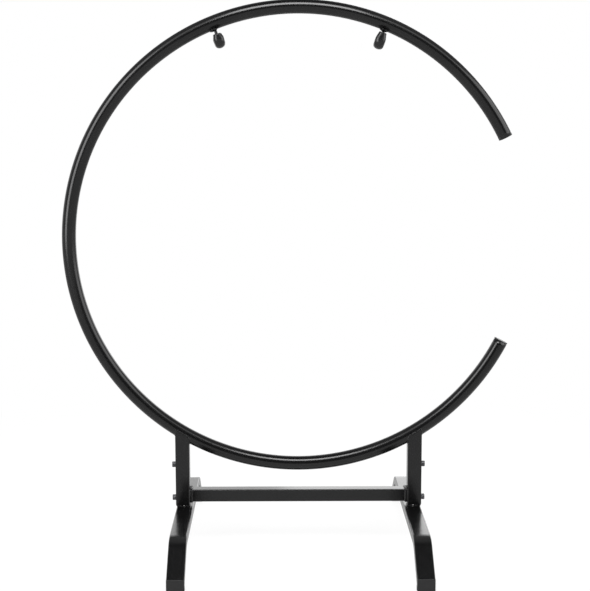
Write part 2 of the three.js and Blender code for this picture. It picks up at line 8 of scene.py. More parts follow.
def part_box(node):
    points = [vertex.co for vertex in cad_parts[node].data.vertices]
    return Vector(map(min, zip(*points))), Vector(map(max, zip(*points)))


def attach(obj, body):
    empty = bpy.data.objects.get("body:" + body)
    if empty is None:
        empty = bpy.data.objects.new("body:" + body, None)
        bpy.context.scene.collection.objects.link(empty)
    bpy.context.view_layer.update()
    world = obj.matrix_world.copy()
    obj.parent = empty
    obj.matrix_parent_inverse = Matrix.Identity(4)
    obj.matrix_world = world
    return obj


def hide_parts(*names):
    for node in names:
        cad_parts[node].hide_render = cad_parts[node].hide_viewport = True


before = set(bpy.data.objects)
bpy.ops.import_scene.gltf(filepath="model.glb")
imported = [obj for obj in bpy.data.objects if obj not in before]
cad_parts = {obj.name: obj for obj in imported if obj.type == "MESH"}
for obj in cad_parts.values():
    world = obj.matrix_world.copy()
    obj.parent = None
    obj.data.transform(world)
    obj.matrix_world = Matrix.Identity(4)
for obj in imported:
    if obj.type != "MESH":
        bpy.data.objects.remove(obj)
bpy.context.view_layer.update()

# Metres, +Z up, front towards -Y. Left and right are seen from the front.
MM = 0.001
SIDES = {"left": -1, "right": 1}

# Hoop: rolled round tube, open on the right
RING_RADIUS = 515 * MM
RING_FIRST_ANGLE = math.radians(26.4)
RING_LAST_ANGLE = math.radians(333.2)
RING_WALL = 2 * MM
HOOP_ABOVE_FEET_AT_LEGS = 172 * MM
CONTACT_GAP = 0.3 * MM

# Square and rectangular tube
TUBE_WALL = 2 * MM
TUBE_CORNER_RADIUS = 2.5 * MM
RIM_EDGE = 0.4 * MM

# Foot tube: level in the middle, bent down at both ends
FOOT_LEVEL_LENGTH = 448 * MM
FOOT_BEND_RADIUS = 62 * MM
FOOT_SLOPE = math.radians(36.8)
FOOT_HALF_REACH = 331 * MM
FOOT_HEIGHT = 20 * MM
BEND_DISH = 0.4 * MM

# Plugs
RING_PLUG_FLANGE = 2 * MM
RING_PLUG_LENGTH = 12 * MM
RING_PLUG_EDGE = 0.9 * MM
RING_PLUG_CROWN = 0.35 * MM
SOLE_THICKNESS = 2 * MM
SOLE_DEPTH = 12 * MM
FOOT_PLUG_PLATE = 3 * MM
FOOT_PLUG_EDGE = 0.8 * MM

# Screws
SCREW_HEAD_RADIUS = 6.5 * MM
SCREW_HEAD_HEIGHT = 8 * MM
SCREW_SHANK_RADIUS = 4 * MM
SCREW_LENGTH = 16 * MM
SCREW_SOCKET_WIDTH = 6 * MM
SCREW_SOCKET_DEPTH = 4 * MM
SCREW_EDGE = 0.8 * MM
SCREW_HEAD_FOOT_EDGE = 0.5 * MM
SCREW_PLAIN_INSET = 0.1 * MM
SCREW_SHOULDER_DEPTH = 1.5 * MM
SCREW_SOCKET_MOUTH_SHARE = 0.62
SCREW_SOCKET_CHAMFER = 0.4 * MM
SCREW_SOCKET_CONE = 1 * MM
KNURL_TEETH = 36
KNURL_DEPTH = 0.25 * MM
KNURL_START = 1.1 * MM
KNURL_END_DEPTH = 2 * MM

# Weld beads, and the dab where the bead under each leg ends
RIPPLE_PITCH = 1.7 * MM
RIPPLE_DEPTH = 0.28 * MM
LEG_BEAD_WIDTH = 3.6 * MM
LEG_BEAD_HEIGHT = 3 * MM
LEG_BEAD_DROP = 0.7
LEG_BEAD_SEED = 3
BAR_BEAD_SEED = 5
STUB_BEAD_WIDTH = 2 * MM
STUB_BEAD_HEIGHT = 3 * MM
STUB_BEAD_OFFSET = 0.7 * MM
STUB_BEAD_SEED = 7
DAB_HALF_WIDTH = 2.2 * MM
DAB_HALF_HEIGHT = 1.1 * MM
DAB_ASIDE = 3 * MM
DAB_FORWARD = 1.2 * MM
DAB_RISE = 1.4 * MM

# Hooks: rod bent to a U that is open at the top, with a thick rubber sleeve.
# Their place on the hoop, their lean and their twist are in degrees.
HOOK_ROD_RADIUS = 3.5 * MM
HOOK_ROD_EDGE = 0.6 * MM
HOOK_ROD_ROOT = 0.5 * MM
HOOK_BEND_RADIUS = 12 * MM
HOOK_ROD_INSET = 1.5 * MM
SLEEVE_RADIUS = 8.5 * MM
SLEEVE_BORE_RADIUS = 3.95 * MM
SLEEVE_BEND_BULGE = 23.5 / 17 - 1
SLEEVE_LIP = 1.3 * MM
SLEEVE_BORE_EDGE = 0.4 * MM
SLEEVE_PINCH_DEPTH = 0.5 * MM
SLEEVE_PINCHES = 7
HEAP_HALF_LENGTH = 9.5 * MM
HEAP_HALF_WIDTH = 10 * MM
HEAP_HEIGHT = 3.1 * MM
HEAP_RIPPLE_PITCH = 1.9 * MM
HEAP_RIPPLE_DEPTH = 0.3 * MM
HEAP_RIPPLE_SHIFT = 3 * MM
HEAP_ROOT_DEPTH = 1 * MM
HEAP_RIM_DEPTH = 0.05 * MM
HOOKS = {
    "left": {
        "angle": 111.3, "lean": -3, "twist": 5, "reach": 42.5 * MM,
        "sleeve_start": 9 * MM, "tip": 11.5 * MM, "weld_aside": 4.5 * MM,
    },
    "right": {
        "angle": 67.8, "lean": -2.6, "twist": 3.5, "reach": 43.5 * MM,
        "sleeve_start": 4.2 * MM, "tip": 6 * MM, "weld_aside": 0,
    },
}

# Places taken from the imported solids
foot_low, foot_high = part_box("left_foot")
bar_low, bar_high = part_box("cross_bar")
leg_boxes = {side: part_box(f"{side}_leg") for side in SIDES}
stub_boxes = {side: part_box(f"{side}_stub") for side in SIDES}
MIDDLE_X = (leg_boxes["left"][0].x + leg_boxes["right"][1].x) / 2
LEG_WIDTH = leg_boxes["left"][1].x - leg_boxes["left"][0].x
LEG_X = leg_boxes["right"][1].x - LEG_WIDTH / 2 - MIDDLE_X
LEG_BOTTOM = leg_boxes["left"][0].z
FOOT_TOP = foot_high.z
FOOT_WIDTH = foot_high.x - foot_low.x
BEND_DISH_HALF_WIDTH = FOOT_WIDTH / 2.2
FOOT_MIDDLE = FOOT_TOP - FOOT_HEIGHT / 2
BAR_WIDTH = bar_high.z - bar_low.z
BAR_Z = (bar_low.z + bar_high.z) / 2
BAR_END = bar_high.x - MIDDLE_X
TUBE_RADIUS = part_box("ring_tube")[1].y
RING_RISE = math.sqrt(RING_RADIUS**2 - LEG_X**2)
RING_CENTRE = Vector((MIDDLE_X, 0, FOOT_TOP + HOOP_ABOVE_FEET_AT_LEGS + RING_RISE))


# Materials


def material(name, colour, roughness, metallic=0.0, ior=1.45):
    """New material with constants on the shader's own sockets; returns it with its tree and shader."""
    made = bpy.data.materials.new(name)
    made.use_nodes = True
    tree = made.node_tree
    shader = tree.nodes["Principled BSDF"]
    shader.inputs["Base Color"].default_value = (*colour, 1)
    shader.inputs["Roughness"].default_value = roughness
    shader.inputs["Metallic"].default_value = metallic
    shader.inputs["IOR"].default_value = ior
    made.diffuse_color = (*colour, 1)
    return made, tree, shader


def pattern(tree, repeats_per_metre, octaves):
    """Noise on Object coordinates."""
    place = tree.nodes.new("ShaderNodeTexCoord")
    noise = tree.nodes.new("ShaderNodeTexNoise")
    noise.inputs["Scale"].default_value = repeats_per_metre
    noise.inputs["Detail"].default_value = octaves
    tree.links.new(place.outputs["Object"], noise.inputs["Vector"])
    return noise.outputs["Fac"]


def spread(tree, source, low, high):
    """The usual range of a noise value, from 0.3 to 0.7, brought into another range."""
    ranged = tree.nodes.new("ShaderNodeMapRange")
    ranged.inputs["From Min"].default_value = 0.3
    ranged.inputs["From Max"].default_value = 0.7
    ranged.inputs["To Min"].default_value = low
    ranged.inputs["To Max"].default_value = high
    tree.links.new(source, ranged.inputs["Value"])
    return ranged.outputs["Result"]


def tint(tree, shader, source, darkest, lightest):
    """Base colour that wanders between two colours with a noise."""
    mix = tree.nodes.new("ShaderNodeMix")
    mix.data_type = "RGBA"
    mix.inputs["A"].default_value = (*darkest, 1)
    mix.inputs["B"].default_value = (*lightest, 1)
    tree.links.new(spread(tree, source, 0, 1), mix.inputs["Factor"])
    tree.links.new(mix.outputs["Result"], shader.inputs["Base Color"])


def haze(tree, shader, source, glossiest, dullest):
    """Roughness that wanders between two values with a noise."""
    tree.links.new(spread(tree, source, glossiest, dullest), shader.inputs["Roughness"])


def relief(tree, shader, source, depth, under=None):
    """Bump of a given depth in metres; more than one can be stacked."""
    bump = tree.nodes.new("ShaderNodeBump")
    bump.inputs["Distance"].default_value = depth
    tree.links.new(source, bump.inputs["Height"])
    if under:
        tree.links.new(under, bump.inputs["Normal"])
    tree.links.new(bump.outputs["Normal"], shader.inputs["Normal"])
    return bump.outputs["Normal"]


def powder_coat(name, peel_depth):
    """Baked black powder: semi-gloss skin with orange peel, slight cloudiness and fine pips."""
    made, tree, shader = material(name, (0.0034, 0.0034, 0.0035), 0.19)
    clouds = pattern(tree, 14, 3)
    tint(tree, shader, clouds, (0.0029, 0.0029, 0.003), (0.004, 0.004, 0.0042))
    peel = pattern(tree, 420, 2)
    haze(tree, shader, pattern(tree, 60, 4), 0.172, 0.205)
    skin = relief(tree, shader, peel, peel_depth)
    pips = pattern(tree, 1700, 1)
    relief(tree, shader, pips, peel_depth / 4, under=skin)
    return made


def moulded_plastic(name):
    """Satin black plugs with the fine spark texture of a mould."""
    made, tree, shader = material(name, (0.009, 0.009, 0.0093), 0.45, ior=1.46)
    spark = pattern(tree, 2200, 2)
    haze(tree, shader, pattern(tree, 90, 3), 0.4, 0.52)
    relief(tree, shader, spark, 0.03 * MM)
    return made


def sleeve_rubber(name):
    """Black hose rubber, a little shiny, with a soft mottle."""
    made, tree, shader = material(name, (0.0035, 0.0035, 0.0037), 0.27, ior=1.5)
    mottle = pattern(tree, 260, 4)
    tint(tree, shader, mottle, (0.0025, 0.0025, 0.0027), (0.0045, 0.0045, 0.0048))
    haze(tree, shader, mottle, 0.24, 0.31)
    relief(tree, shader, pattern(tree, 1300, 3), 0.005 * MM)
    return made


def painted_glint_steel(name):
    """Bright steel colour on the end of a bead, a painted highlight that stands in for a glint there."""
    made, tree, shader = material(name, (0.62, 0.61, 0.6), 0.35, metallic=1.0)
    wear_and_glint_noise = pattern(tree, 1500, 3)
    tint(tree, shader, wear_and_glint_noise, (0.5, 0.49, 0.48), (0.72, 0.71, 0.7))
    relief(tree, shader, wear_and_glint_noise, 0.02 * MM)
    return made


def oxide_steel(name):
    """Black oxide on a machined screw, worn a little brighter in patches."""
    made, tree, shader = material(name, (0.09, 0.09, 0.095), 0.38, metallic=0.85)
    wear_and_glint_noise = pattern(tree, 700, 3)
    tint(tree, shader, wear_and_glint_noise, (0.05, 0.05, 0.055), (0.15, 0.15, 0.155))
    haze(tree, shader, wear_and_glint_noise, 0.3, 0.46)
    relief(tree, shader, pattern(tree, 3000, 2), 0.01 * MM)
    return made


def zinc_plate(name):
    """Bright zinc with faint grain, inside the stubs."""
    made, tree, shader = material(name, (0.56, 0.57, 0.59), 0.3, metallic=1.0)
    grain = pattern(tree, 900, 3)
    tint(tree, shader, grain, (0.45, 0.46, 0.49), (0.62, 0.63, 0.64))
    haze(tree, shader, grain, 0.22, 0.4)
    relief(tree, shader, grain, 0.02 * MM)
    return made


COAT = powder_coat("black_powder_coat", 0.005 * MM)
WELD_COAT = powder_coat("black_powder_coat_on_weld", 0.02 * MM)
# Bright steel colour that paints a highlight on the dab under each leg
PAINTED_GLINT_STEEL = painted_glint_steel("painted_glint_steel")
PLUG = moulded_plastic("satin_black_plug")
RUBBER = sleeve_rubber("matt_black_rubber")
OXIDE = oxide_steel("black_oxide_steel")
ZINC = zinc_plate("bright_zinc")


# Meshes


def settle(piece, surface, *nodes):
    """Gives a finished piece its material, body, slot and the solids that it stands for."""
    if not piece.data.materials:
        piece.data.materials.append(surface)
    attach(piece, "root")
    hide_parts(*nodes)
    return piece


def skin(name, rings, looped=False, sharp=35):
    """Object made of quads between rings of points. A ring of one repeated point closes an end."""
    count = len(rings[0])
    mesh = bpy.data.meshes.new(name)
    points = [tuple(point) for ring in rings for point in ring]
    quads = []
    for i in range(len(rings) if looped else len(rings) - 1):
        here = i * count
        there = ((i + 1) % len(rings)) * count
        for j in range(count):
            k = (j + 1) % count
            quads.append((here + j, here + k, there + k, there + j))
    mesh.from_pydata(points, [], quads)
    return closed(name, mesh, sharp)


def closed(name, mesh, sharp=35):
    """Object of a mesh with its doubles merged, its faces outwards and its hard edges marked."""
    work = bmesh.new()
    work.from_mesh(mesh)
    bmesh.ops.remove_doubles(work, verts=work.verts, dist=0.002 * MM)
    bmesh.ops.recalc_face_normals(work, faces=work.faces)
    work.to_mesh(mesh)
    work.free()
    mesh.shade_smooth()
    mesh.set_sharp_from_angle(angle=math.radians(sharp))
    piece = bpy.data.objects.new(name, mesh)
    bpy.context.scene.collection.objects.link(piece)
    return piece


def flat_faces_true(piece):
    """Normals that keep large flat faces flat beside small rounded edges."""
    weighted = piece.modifiers.new("flat_faces", "WEIGHTED_NORMAL")
    weighted.keep_sharp = True
    return piece


def round_edges(piece, width):
    bevel = piece.modifiers.new("edges", "BEVEL")
    bevel.width = width
    bevel.segments = 3
    bevel.limit_method = "ANGLE"
    bevel.angle_limit = math.radians(30)
    return flat_faces_true(piece)


def rounded_rect(width, height, radius, corner_steps=8, flat_steps=1):
    """Points round a rectangle with round corners, from the upper end of its right side."""
    points = []
    for corner in range(4):
        sign_x = 1 if corner in (0, 3) else -1
        sign_y = 1 if corner < 2 else -1
        for i in range(corner_steps + 1):
            angle = (corner + i / corner_steps) * math.pi / 2
            x = sign_x * (width / 2 - radius) + radius * math.cos(angle)
            y = sign_y * (height / 2 - radius) + radius * math.sin(angle)
            points.append((x, y))
    filled = []
    for i, (x, y) in enumerate(points):
        next_x, next_y = points[(i + 1) % len(points)]
        steps = flat_steps if i % (corner_steps + 1) == corner_steps else 1
        for k in range(steps):
            filled.append((x + (next_x - x) * k / steps, y + (next_y - y) * k / steps))
    return filled


def tube_sections(width, height, flat_steps=1):
    """Outer and inner outline of a square or rectangular tube, with equal counts of points."""
    bore_width = width - 2 * TUBE_WALL
    bore_height = height - 2 * TUBE_WALL
    outer = rounded_rect(width, height, TUBE_CORNER_RADIUS, flat_steps=flat_steps)
    inner = rounded_rect(bore_width, bore_height, TUBE_CORNER_RADIUS / 2, flat_steps=flat_steps)
    return outer, inner


# Geometry Nodes


class Recipe:
    """A node tree for a piece that follows a rule, with named inputs for its sizes."""

    def __init__(self, name, inputs):
        self.tree = bpy.data.node_groups.new(name, "GeometryNodeTree")
        face = self.tree.interface
        face.new_socket("Geometry", in_out="INPUT", socket_type="NodeSocketGeometry")
        self.sockets = {}
        for label, kind in inputs.items():
            self.sockets[label] = face.new_socket(label, in_out="INPUT", socket_type=f"NodeSocket{kind}")
        face.new_socket("Geometry", in_out="OUTPUT", socket_type="NodeSocketGeometry")
        self.start = self.tree.nodes.new("NodeGroupInput")
        self.end = self.tree.nodes.new("NodeGroupOutput")

    def value(self, label):
        return self.start.outputs[label]

    def node(self, kind, settings=None, **wires):
        """Adds a node. Wires go to inputs by name, with _ for a space, and may be plain values."""
        made = self.tree.nodes.new(kind)
        for key, setting in (settings or {}).items():
            setattr(made, key, setting)
        for key, wire in wires.items():
            target = made.inputs[int(key[1:])] if key[1:].isdigit() else made.inputs[key.replace("_", " ")]
            if isinstance(wire, bpy.types.NodeSocket):
                self.tree.links.new(wire, target)
            else:
                target.default_value = wire
        return made

    def calc(self, operation, *values):
        wires = {f"i{place}": value for place, value in enumerate(values)}
        return self.node("ShaderNodeMath", {"operation": operation}, **wires).outputs[0]

    def attribute(self, name, kind="FLOAT"):
        return self.node("GeometryNodeInputNamedAttribute", {"data_type": kind}, Name=name).outputs[0]

    def marked(self, geometry, name, value):
        """Geometry with a value stored on its points under a name."""
        store = {"data_type": "FLOAT"}
        return self.node(
            "GeometryNodeStoreNamedAttribute", store, Geometry=geometry, Name=name, Value=value
        ).outputs[0]

    def finish(self, geometry):
        real = self.node("GeometryNodeRealizeInstances", Geometry=geometry)
        surface = self.value("Material")
        painted = self.node("GeometryNodeSetMaterial", Geometry=real.outputs[0], Material=surface)
        self.tree.links.new(painted.outputs[0], self.end.inputs[0])
        return self

    def cook(self, name, base, **values):
        """Runs the tree on a base mesh and returns a plain object of the result."""
        carrier = bpy.data.objects.new(name, base)
        bpy.context.scene.collection.objects.link(carrier)
        modifier = carrier.modifiers.new("recipe", "NODES")
        modifier.node_group = self.tree
        for label, value in values.items():
            modifier[self.sockets[label.replace("_", " ")].identifier] = value
        bpy.context.view_layer.update()
        graph = bpy.context.evaluated_depsgraph_get()
        mesh = bpy.data.meshes.new_from_object(carrier.evaluated_get(graph), depsgraph=graph)
        mesh.name = name
        carrier.modifiers.remove(modifier)
        carrier.data = mesh
        return carrier


def hoop_recipe():
    """Round section swept along an open circle that stands in the XZ plane."""
    recipe = Recipe("rolled_hoop", {
        "Ring Radius": "Float", "Tube Radius": "Float", "First Angle": "Float", "Sweep Angle": "Float",
        "Centre": "Vector", "Steps": "Int", "Sides": "Int", "Material": "Material",
    })
    arc = recipe.node(
        "GeometryNodeCurveArc", {"mode": "RADIUS"},
        Resolution=recipe.value("Steps"), Radius=recipe.value("Ring Radius"),
        Start_Angle=recipe.value("First Angle"), Sweep_Angle=recipe.value("Sweep Angle"),
    )
    section = recipe.node(
        "GeometryNodeCurvePrimitiveCircle",
        Resolution=recipe.value("Sides"), Radius=recipe.value("Tube Radius"),
    )
    tube = recipe.node(
        "GeometryNodeCurveToMesh", Curve=arc.outputs["Curve"], Profile_Curve=section.outputs["Curve"]
    )
    upright = recipe.node(
        "GeometryNodeTransform", Geometry=tube.outputs[0],
        Rotation=(math.pi / 2, 0, 0), Translation=recipe.value("Centre"),
    )
    smooth = recipe.node("GeometryNodeSetShadeSmooth", Geometry=upright.outputs[0])
    return recipe.finish(smooth.outputs[0])


def bead_recipe():
    """Weld bead along a closed path: an oval section whose surface is laid in overlapping ripples."""
    recipe = Recipe("rippled_bead", {
        "Width": "Float", "Height": "Float", "Ripple Pitch": "Float", "Ripple Depth": "Float",
        "Bow": "Float", "Unevenness": "Float", "Seed": "Float", "Sides": "Int", "Material": "Material",
    })
    steps_per_ripple = 7.0
    wanders_per_metre = 160.0
    swell_share = 0.15
    path = recipe.node("GeometryNodeMeshToCurve", Mesh=recipe.start.outputs["Geometry"])
    facing = recipe.attribute("facing", "FLOAT_VECTOR")
    turned = recipe.node("GeometryNodeSetCurveNormal", {"mode": "FREE"}, Curve=path.outputs[0], Normal=facing)
    step = recipe.calc("DIVIDE", recipe.value("Ripple Pitch"), steps_per_ripple)
    even = recipe.node("GeometryNodeResampleCurve", {"mode": "LENGTH"}, Curve=turned.outputs[0], Length=step)
    length = recipe.node("GeometryNodeSplineParameter").outputs["Length"]
    along = recipe.marked(even.outputs[0], "along", length)
    circle = recipe.node("GeometryNodeCurvePrimitiveCircle", Resolution=recipe.value("Sides"), Radius=0.5)
    size = recipe.node("ShaderNodeCombineXYZ", X=recipe.value("Height"), Y=recipe.value("Width"), Z=1.0)
    oval = recipe.node("GeometryNodeTransform", Geometry=circle.outputs["Curve"], Scale=size.outputs[0])
    share = recipe.node("GeometryNodeSplineParameter").outputs["Factor"]
    around = recipe.marked(oval.outputs[0], "around", share)
    body = recipe.node("GeometryNodeCurveToMesh", Curve=along, Profile_Curve=around)
    far = recipe.attribute("along")
    turn = recipe.calc("MULTIPLY", recipe.attribute("around"), 2 * math.pi)
    lead = recipe.calc("MULTIPLY", recipe.calc("COSINE", turn), recipe.value("Bow"))
    walk = recipe.calc("ADD", recipe.calc("MULTIPLY", far, wanders_per_metre), recipe.value("Seed"))
    wander = recipe.node("ShaderNodeTexNoise", {"noise_dimensions": "1D"}, Scale=1.0, Detail=1.0, W=walk)
    centred = recipe.calc("SUBTRACT", wander.outputs[0], 0.5)
    drift = recipe.calc("MULTIPLY", centred, recipe.value("Unevenness"))
    ripples = recipe.calc("DIVIDE", far, recipe.value("Ripple Pitch"))
    phase = recipe.calc("ADD", recipe.calc("ADD", ripples, lead), drift)
    crest = recipe.calc("ABSOLUTE", recipe.calc("SINE", recipe.calc("MULTIPLY", phase, math.pi)))
    lift = recipe.calc("MULTIPLY", recipe.calc("SUBTRACT", crest, 1.0), recipe.value("Ripple Depth"))
    swell = recipe.calc("MULTIPLY", drift, recipe.calc("MULTIPLY", recipe.value("Height"), swell_share))
    normal = recipe.node("GeometryNodeInputNormal")
    push = recipe.node("ShaderNodeVectorMath", {"operation": "SCALE"}, Vector=normal.outputs[0],
                       Scale=recipe.calc("ADD", lift, swell))
    laid = recipe.node("GeometryNodeSetPosition", Geometry=body.outputs[0], Offset=push.outputs[0])
    smooth = recipe.node("GeometryNodeSetShadeSmooth", Geometry=laid.outputs[0])
    return recipe.finish(smooth.outputs[0])


def screw_recipe():
    """Two columns of screws, one on each outer side of the legs, each turned by its own amount."""
    recipe = Recipe("screw_columns", {
        "Screw": "Object", "Middle": "Float", "Reach": "Float", "Lowest": "Float", "Spacing": "Float",
        "Count": "Int", "Seed": "Int", "Material": "Material",
    })
    screw = recipe.node("GeometryNodeObjectInfo", Object=recipe.value("Screw")).outputs["Geometry"]
    joined = recipe.node("GeometryNodeJoinGeometry")
    rise = recipe.node("ShaderNodeCombineXYZ", Z=recipe.value("Spacing"))
    for sign in (-1, 1):
        reach = recipe.calc("MULTIPLY", recipe.value("Reach"), float(sign))
        first = recipe.node("ShaderNodeCombineXYZ", X=recipe.calc("ADD", recipe.value("Middle"), reach),
                            Z=recipe.value("Lowest"))
        column = recipe.node("GeometryNodeMeshLine", Count=recipe.value("Count"),
                             Start_Location=first.outputs[0], Offset=rise.outputs[0])
        placed = recipe.node("GeometryNodeInstanceOnPoints", Points=column.outputs[0], Instance=screw,
                             Rotation=(0, sign * math.pi / 2, 0))
        seed = recipe.calc("ADD", recipe.value("Seed"), float(sign))
        random_turn = recipe.node(
            "FunctionNodeRandomValue", {"data_type": "FLOAT"}, i2=0.0, i3=math.pi / 3, Seed=seed
        )
        euler = recipe.node("ShaderNodeCombineXYZ", Z=random_turn.outputs[1])
        spun = recipe.node(
            "GeometryNodeRotateInstances", Instances=placed.outputs[0], Rotation=euler.outputs[0]
        )
        recipe.tree.links.new(spun.outputs[0], joined.inputs[0])
    return recipe.finish(joined.outputs[0])


HOOP_RECIPE = hoop_recipe()
BEAD_RECIPE = bead_recipe()
SCREW_RECIPE = screw_recipe()


def bead(name, points, facings, width, height, seed, surface, *nodes):
    """Rippled bead along a closed path of points, each with the way that the bead's crown faces."""
    base = bpy.data.meshes.new(name)
    base.from_pydata(points, [(i, (i + 1) % len(points)) for i in range(len(points))], [])
    attribute = base.attributes.new("facing", "FLOAT_VECTOR", "POINT")
    attribute.data.foreach_set("vector", [value for facing in facings for value in facing])
    made = BEAD_RECIPE.cook(
        name, base, Width=width, Height=height, Ripple_Pitch=RIPPLE_PITCH, Ripple_Depth=RIPPLE_DEPTH,
        Bow=0.35, Unevenness=0.8, Seed=float(seed), Sides=20, Material=surface,
    )
    return settle(made, surface, *nodes)


# Hoop


def make_hoop():
    hoop = HOOP_RECIPE.cook(
        "hoop_tube", bpy.data.meshes.new("hoop_tube"), Ring_Radius=RING_RADIUS, Tube_Radius=TUBE_RADIUS,
        First_Angle=RING_FIRST_ANGLE, Sweep_Angle=RING_LAST_ANGLE - RING_FIRST_ANGLE,
        Centre=RING_CENTRE, Steps=300, Sides=64, Material=COAT,
    )
    wall = hoop.modifiers.new("wall", "SOLIDIFY")
    wall.thickness = RING_WALL
    wall.offset = -1
    settle(hoop, COAT, "ring_tube")


def turned_rings(profile, sides, place):
    """Rings of a turned shape from (height, radius) pairs, about the local Z axis of a placement."""
    rings = []
    for height, radius in profile:
        ring = []
        for i in range(sides):
            angle = 2 * math.pi * i / sides
            ring.append(place @ Vector((radius * math.cos(angle), radius * math.sin(angle), height)))
        rings.append(ring)
    return rings


def make_ring_plugs():
    """Turned plugs with a soft edge and a slightly crowned face, pushed into both ends of the hoop."""
    bore = TUBE_RADIUS - RING_WALL - CONTACT_GAP
    face = CONTACT_GAP + RING_PLUG_FLANGE
    rim = TUBE_RADIUS - RING_PLUG_EDGE
    edge_steps, crown_steps = 6, 8
    profile = [(-RING_PLUG_LENGTH, 0), (-RING_PLUG_LENGTH, bore - RING_PLUG_EDGE)]
    profile += [(-RING_PLUG_LENGTH + RING_PLUG_EDGE, bore), (CONTACT_GAP, bore), (CONTACT_GAP, TUBE_RADIUS)]
    for i in range(edge_steps + 1):
        turn = math.pi / 2 * i / edge_steps
        rise = face - RING_PLUG_EDGE + RING_PLUG_EDGE * math.sin(turn)
        profile.append((rise, rim + RING_PLUG_EDGE * math.cos(turn)))
    for i in range(1, crown_steps + 1):
        share = 1 - i / crown_steps
        profile.append((face + RING_PLUG_CROWN * (1 - share**2), rim * share))
    for place, angle, direction in (("upper", RING_FIRST_ANGLE, -1), ("lower", RING_LAST_ANGLE, 1)):
        middle = RING_CENTRE + RING_RADIUS * Vector((math.cos(angle), 0, math.sin(angle)))
        outward = direction * Vector((-math.sin(angle), 0, math.cos(angle)))
        turn = outward.to_track_quat("Z", "Y").to_matrix().to_4x4()
        rings = turned_rings(profile, 64, Matrix.Translation(middle) @ turn)
        settle(skin(f"hoop_plug_{place}", rings, sharp=50), PLUG, f"ring_cap_{place}")


# Legs and cross bar


def hoop_underside(x, y, gap=0.0):
    """Height at which a plumb line at x and y, from the hoop's middle, meets the hoop from below."""
    across = math.sqrt(max((TUBE_RADIUS + gap) ** 2 - y**2, 0))
    return RING_CENTRE.z - math.sqrt((RING_RADIUS + across) ** 2 - x**2)


def make_leg(side, sign):
    outer, inner = tube_sections(LEG_WIDTH, LEG_WIDTH, flat_steps=10)
    x = sign * LEG_X
    shift = Vector((MIDDLE_X, 0, 0))

    def ring(section, height, scale=1.0):
        return [shift + Vector((x + u * scale, v * scale, height)) for u, v in section]

    def top(section):
        return [shift + Vector((x + u, v, hoop_underside(x + u, v, CONTACT_GAP))) for u, v in section]

    slim = 1 - 2 * RIM_EDGE / LEG_WIDTH
    rings = [ring(outer, LEG_BOTTOM, slim), ring(outer, LEG_BOTTOM + RIM_EDGE), top(outer), top(inner)]
    rings.append(ring(inner, LEG_BOTTOM))
    leg = flat_faces_true(skin(f"{side}_leg_tube", rings, looped=True))
    settle(leg, COAT, f"{side}_leg")


def make_leg_bead(side, sign):
    """Low fillet where the leg meets the underside of the hoop."""
    section = rounded_rect(LEG_WIDTH, LEG_WIDTH, TUBE_CORNER_RADIUS, flat_steps=14)
    points, facings = [], []
    for u, v in section:
        x = sign * LEG_X + u
        spot = Vector((MIDDLE_X + x, v, hoop_underside(x, v)))
        out = Vector((u, v, 0)).normalized()
        points.append(spot)
        facings.append((out - Vector((0, 0, LEG_BEAD_DROP))).normalized())
    seed = LEG_BEAD_SEED * sign
    width, height = LEG_BEAD_WIDTH, LEG_BEAD_HEIGHT
    bead(f"{side}_leg_bead", points, facings, width, height, seed, WELD_COAT, f"{side}_leg_weld")


def make_bar():
    outer, inner = tube_sections(BAR_WIDTH, BAR_WIDTH)

    def ring(section, x):
        return [Vector((MIDDLE_X + x, u, BAR_Z + v)) for u, v in section]

    stations = [-BAR_END, -BAR_END / 2, 0, BAR_END / 2, BAR_END]
    rings = [ring(outer, x) for x in stations] + [ring(inner, x) for x in reversed(stations)]
    settle(flat_faces_true(skin("cross_bar_tube", rings, looped=True)), COAT, "cross_bar")


def make_bar_bead(side, sign):
    """Wide bead round each end of the bar, lapping onto the leg's front and back."""
    low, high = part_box(f"{side}_bar_weld")
    section = rounded_rect(BAR_WIDTH, BAR_WIDTH, TUBE_CORNER_RADIUS, flat_steps=14)
    middle = (low.x + high.x) / 2
    points = [Vector((middle, u, BAR_Z + v)) for u, v in section]
    facings = [Vector((0, u, v)).normalized() for u, v in section]
    seed = BAR_BEAD_SEED * sign
    width, height = high.x - low.x, 2 * (high.y - BAR_WIDTH / 2)
    bead(f"{side}_bar_bead", points, facings, width, height, seed, WELD_COAT, f"{side}_bar_weld")


# Feet


def foot_line(u, v):
    """One line along the foot from front to rear, at u across and v above its middle."""
    bend_steps, level_steps = 14, 4
    start = FOOT_LEVEL_LENGTH / 2
    radius = FOOT_BEND_RADIUS + v
    half = []
    for i in range(bend_steps + 1):
        angle = FOOT_SLOPE * i / bend_steps
        across = max(1 - (u / BEND_DISH_HALF_WIDTH) ** 2, 0)
        sink = BEND_DISH * math.sin(math.pi * i / bend_steps) ** 2 * across
        reach = radius - (sink if v > 0 else 0)
        half.append((start + reach * math.sin(angle), reach * math.cos(angle) - FOOT_BEND_RADIUS))
    y, z = half[-1]
    half.append((FOOT_HALF_REACH, z - (FOOT_HALF_REACH - y) * math.tan(FOOT_SLOPE)))
    level = [(start * k / level_steps, v) for k in range(1 - level_steps, level_steps)]
    return [(-y, z) for y, z in reversed(half)] + level + half


def make_foot(side):
    outer, inner = tube_sections(FOOT_WIDTH, FOOT_HEIGHT, flat_steps=6)
    low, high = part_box(f"{side}_foot")
    middle = (low.x + high.x) / 2

    def rings(section):
        lines = [[Vector((middle + u, y, FOOT_MIDDLE + z)) for y, z in foot_line(u, v)] for u, v in section]
        return [list(ring) for ring in zip(*lines)]

    shell = rings(outer) + list(reversed(rings(inner)))
    foot = flat_faces_true(skin(f"{side}_foot_tube", shell, looped=True))
    settle(foot, COAT, f"{side}_foot")


